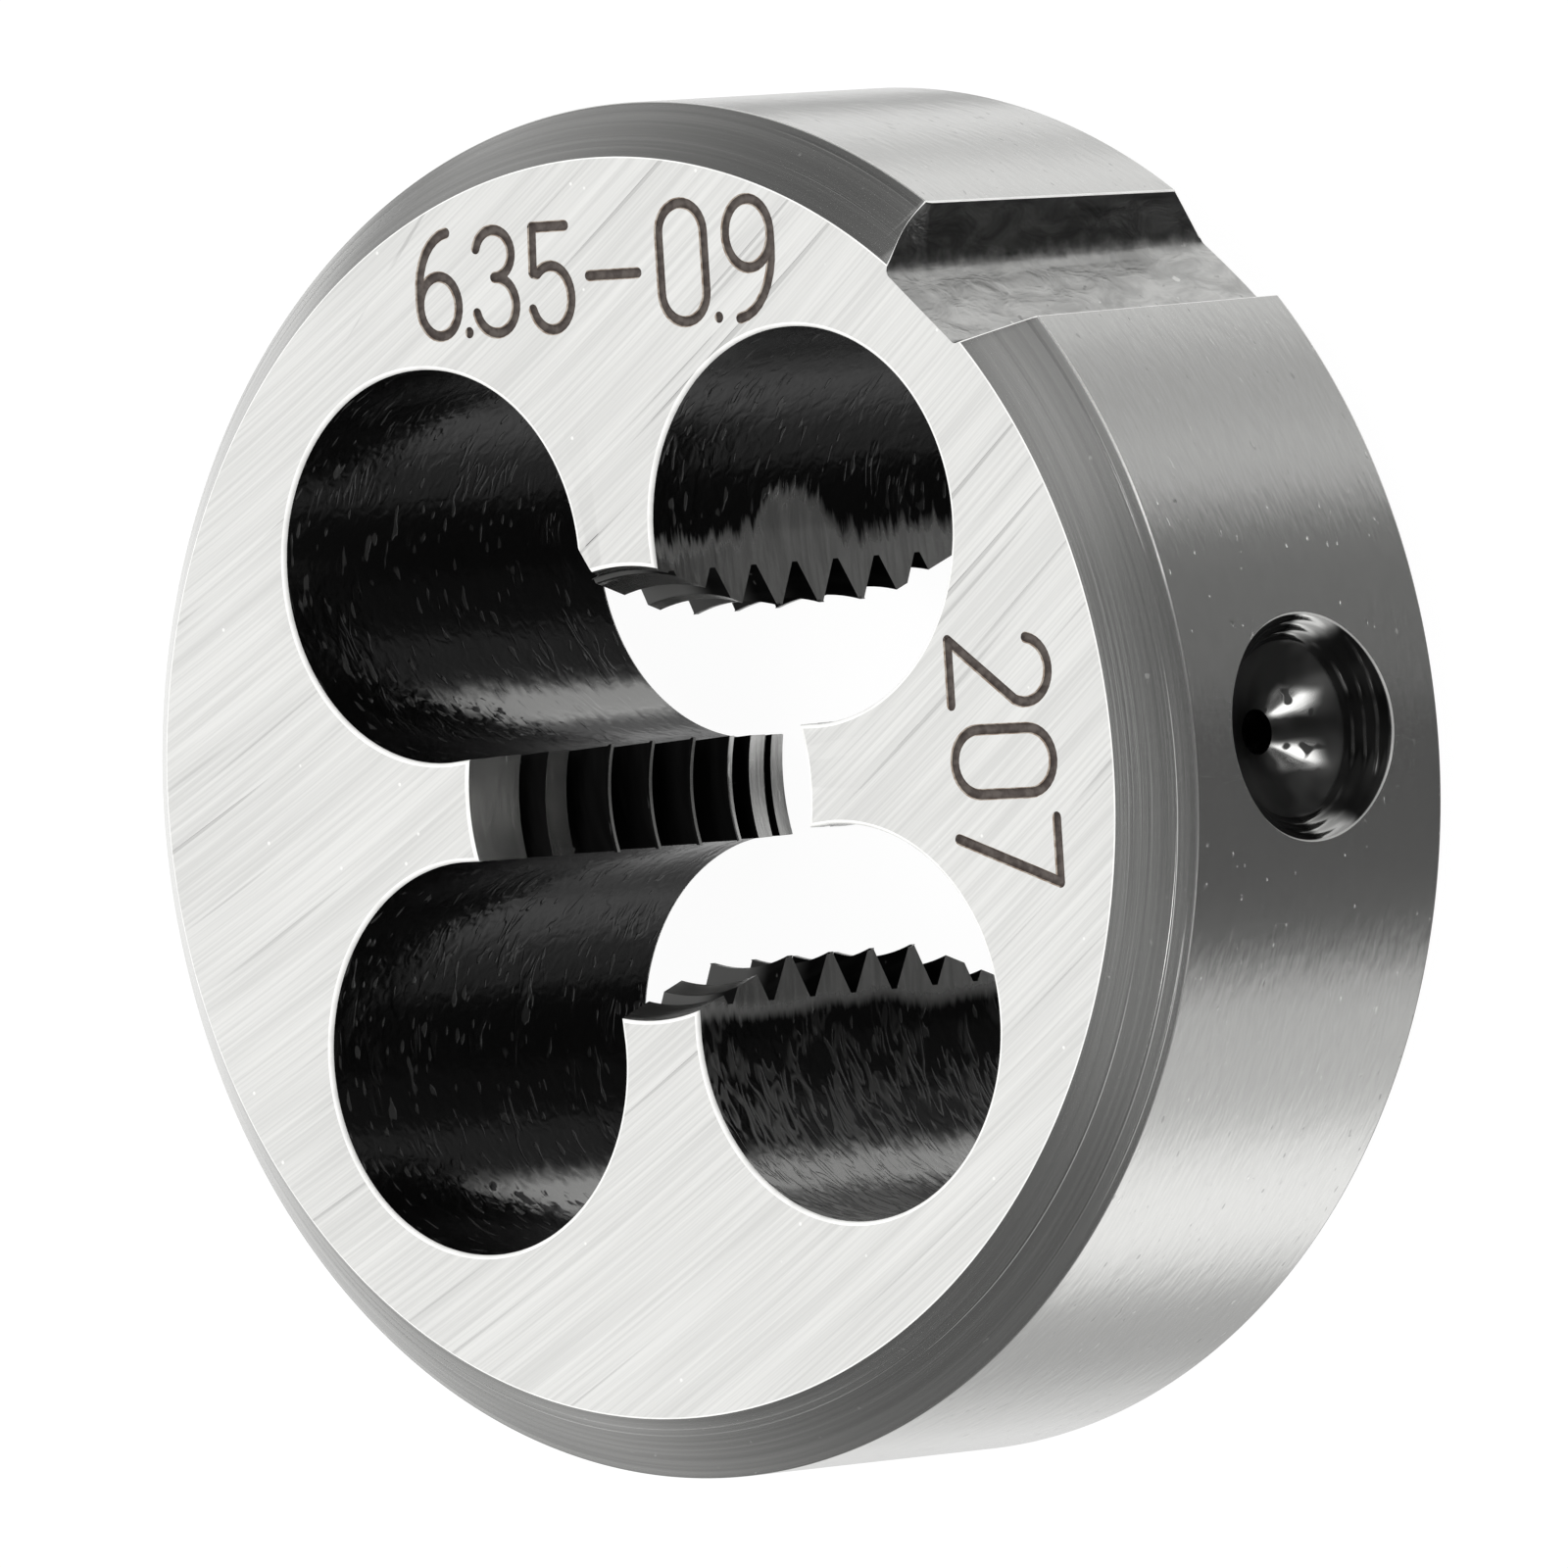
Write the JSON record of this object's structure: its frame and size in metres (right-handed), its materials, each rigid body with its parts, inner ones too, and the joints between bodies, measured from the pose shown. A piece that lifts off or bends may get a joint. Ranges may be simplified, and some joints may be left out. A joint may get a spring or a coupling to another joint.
{
  "type": "round threading die",
  "caption": "Round threading die: a flat steel disc with chamfered rims, through flutes and an interrupted internal thread, a V slot for adjusting and a countersunk set-screw seat in its rim.",
  "frame": {"origin": "centre of the back face, on the thread's axis", "axes": "+Z along the thread's axis, out of the front face; +X from the axis through the set-screw seat; the adjusting slot is 46 degrees from +X towards +Y"},
  "size_m": [0.02, 0.02, 0.007],
  "materials": {
    "tool_steel": "ground faces, turned chamfers and dark polished flutes"
  },
  "bodies": {
    "root": {"die": "tool_steel"}
  },
  "joints": []
}
